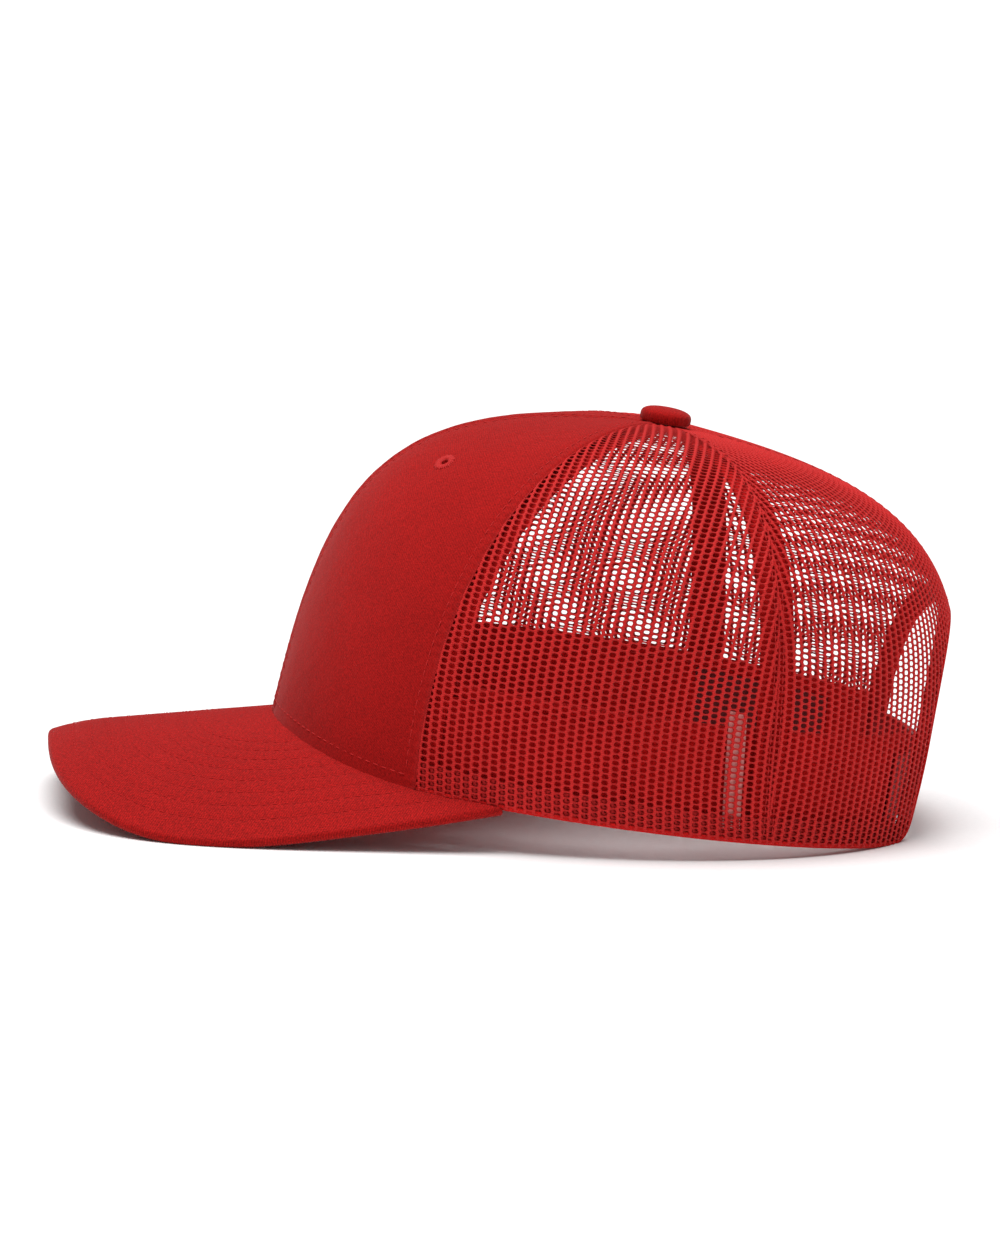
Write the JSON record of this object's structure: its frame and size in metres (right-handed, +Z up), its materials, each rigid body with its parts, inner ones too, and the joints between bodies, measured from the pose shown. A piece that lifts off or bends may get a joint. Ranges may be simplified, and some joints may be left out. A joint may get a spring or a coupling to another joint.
{
  "type": "trucker mesh cap",
  "caption": "Trucker cap with a twill front, mesh sides and back, a curved visor, a covered button and a snap closure across an arched rear opening.",
  "frame": {"origin": "middle of the cap's overall box, on the surface that it rests on", "axes": "+Z up, -Y the way the visor points, +X the wearer's left"},
  "size_m": [0.1652, 0.2715, 0.124],
  "materials": {
    "twill": "matt cotton twill",
    "mesh": "knitted polyester mesh",
    "buckram": "stiff buckram",
    "tape": "woven seam tape",
    "sweatband": "matt twill",
    "foam": "soft foam",
    "board": "matt moulded board",
    "thread": "embroidery thread",
    "plastic": "satin soft plastic",
    "metal": "plated steel",
    "label_white": "woven label",
    "label_dark": "woven label"
  },
  "bodies": {
    "crown": {"front_panel_left": "twill", "side_mesh_left": "mesh", "back_mesh_left": "mesh", "front_panel_right": "twill", "side_mesh_right": "mesh", "back_mesh_right": "mesh", "buckram_left": "buckram", "buckram_right": "buckram", "front_seam_tape": "tape", "back_seam_tape": "tape", "front_side_seam_tape_left": "tape", "side_back_seam_tape_left": "tape", "front_side_seam_tape_right": "tape", "side_back_seam_tape_right": "tape", "sweatband": "sweatband", "sweatband_padding": "foam", "arch_binding": "tape", "strap_tab_left": "plastic", "strap_tab_right": "plastic", "visor_top_cover": "twill", "visor_board": "board", "visor_under_cover": "twill", "button_cover": "twill", "button_shell": "metal", "button_rivet": "metal", "button_washer": "metal", "eyelet_left": "thread", "eyelet_right": "thread", "care_label": "label_white", "woven_label": "label_dark"},
    "hole_strap": {"snap_strap_holes": "plastic"},
    "peg_strap": {"snap_strap_pegs": "plastic"}
  },
  "joints": [
    {"name": "hole_strap_bend", "type": "hinge", "parent": "crown", "child": "hole_strap", "pos_m": [-0.0335, 0.12342, 0.01779], "axis": [0, 0.1822, 0.9833], "range_deg": [0, 80], "stiffness_Nm_per_rad": 0.02},
    {"name": "peg_strap_bend", "type": "hinge", "parent": "crown", "child": "peg_strap", "pos_m": [0.0335, 0.12185, 0.01808], "axis": [0, 0.1822, 0.9833], "range_deg": [0, 60], "stiffness_Nm_per_rad": 0.02}
  ]
}
